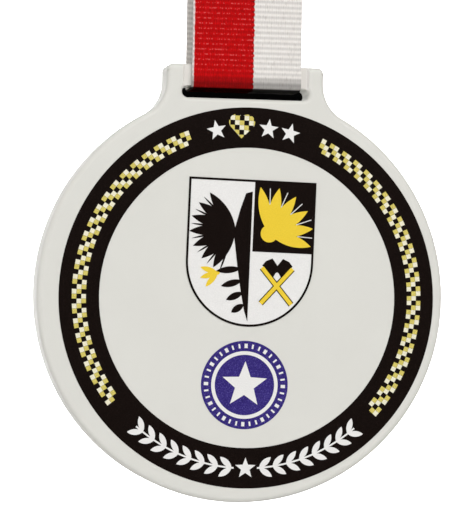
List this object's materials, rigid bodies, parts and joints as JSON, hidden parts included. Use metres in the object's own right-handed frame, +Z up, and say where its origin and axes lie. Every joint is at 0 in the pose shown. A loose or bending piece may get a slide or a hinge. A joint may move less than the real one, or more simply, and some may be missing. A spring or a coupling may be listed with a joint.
{
  "type": "finisher medal",
  "caption": "Round white printed finisher medal with a slotted tab, hanging on a folded two-colour neck ribbon.",
  "frame": {"origin": "the point that the folded ribbon is held by, at the centre of the top of the hank", "axes": "+Z up along the hanging ribbon; the printed face looks along -Y; +X to the right of a person who faces the print"},
  "size_m": [0.08, 0.0102, 0.176],
  "materials": {
    "plate": "satin",
    "ink_black": "satin",
    "ink_white": "satin",
    "ink_gold": "satin",
    "ink_cream": "satin",
    "ink_blue": "satin",
    "ribbon": "woven",
    "thread": "spun",
    "band": "matte"
  },
  "bodies": {
    "ribbon_top": {"ribbon_hank": "ribbon", "ribbon_leg_front": "ribbon", "ribbon_leg_back": "ribbon", "ribbon_lap": "ribbon", "ribbon_seam_thread": "thread", "hank_band": "band"},
    "ribbon_bottom": {"ribbon_loop": "ribbon"},
    "medal": {"medal_plate": "plate", "ring_ink_black": "ink_black", "ring_ink_white": "ink_white", "chequer_ink_gold": "ink_gold", "chequer_ink_cream": "ink_cream", "shield_ink_white": "ink_white", "shield_ink_black": "ink_black", "shield_ink_gold": "ink_gold", "roundel_ink_blue": "ink_blue", "roundel_ink_white": "ink_white"}
  },
  "joints": [
    {"name": "medal_swing", "type": "hinge", "parent": "ribbon_top", "child": "ribbon_bottom", "pos_m": [0, 0, -0.074], "axis": [1, 0, 0], "range_deg": [-60, 60]},
    {"name": "medal_slide", "type": "slide", "parent": "ribbon_bottom", "child": "medal", "axis": [1, 0, 0], "range_m": [-0.0008, 0.0008]}
  ]
}
